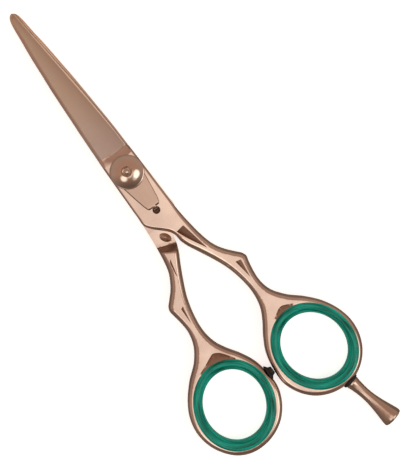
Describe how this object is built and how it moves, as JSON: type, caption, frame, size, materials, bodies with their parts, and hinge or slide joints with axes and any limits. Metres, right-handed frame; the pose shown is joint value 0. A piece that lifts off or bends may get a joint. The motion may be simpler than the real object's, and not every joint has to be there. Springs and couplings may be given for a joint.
{
  "type": "hair cutting shears",
  "caption": "Closed hairdressing shears with slim pointed blades, a domed tension knob over a leaf spring, oval finger rings with soft inserts, a rubber bumper and a screw-in finger rest.",
  "frame": {"origin": "on the pivot axis, at the flat underside of the pivot bolt's head, which is level with the undersides of the ring inserts", "axes": "+Y from the pivot to the blade tips, +Z along the pivot axis towards the tension knob, +X towards the finger ring's side"},
  "size_m": [0.054, 0.1566, 0.0098],
  "materials": {
    "rose_gold_steel": "mirror-polished rose gold coating, satin on the blade faces",
    "spring_steel": "polished rose gold spring steel",
    "green_plastic": "glossy, slightly translucent green",
    "black_rubber": "matt black",
    "nylon": "natural"
  },
  "bodies": {
    "finger_side": {"finger_member": "rose_gold_steel", "pivot_bush": "nylon", "leaf_spring": "spring_steel", "finger_ring_insert": "green_plastic", "finger_rest_washer": "black_rubber"},
    "thumb_side": {"thumb_member": "rose_gold_steel", "pivot_bolt": "rose_gold_steel", "blade_washer": "nylon", "bumper": "black_rubber", "thumb_ring_insert": "green_plastic", "knob_washer": "spring_steel"},
    "knob": {"tension_knob": "rose_gold_steel"},
    "rest": {"finger_rest": "rose_gold_steel"}
  },
  "joints": [
    {"name": "pivot", "type": "hinge", "parent": "finger_side", "child": "thumb_side", "pos_m": [0, 0, 0.003], "axis": [0, 0, -1], "range_deg": [0, 90]},
    {"name": "knob_turn", "type": "hinge", "parent": "thumb_side", "child": "knob", "pos_m": [0, 0, 0.008], "axis": [0, 0, 1], "range_deg": [-90, 180]},
    {"name": "rest_turn", "type": "hinge", "parent": "finger_side", "child": "rest", "pos_m": [0.01549, -0.08421, 0.003], "axis": [0.2164, -0.9763, 0], "range_deg": [0, 1440]}
  ]
}
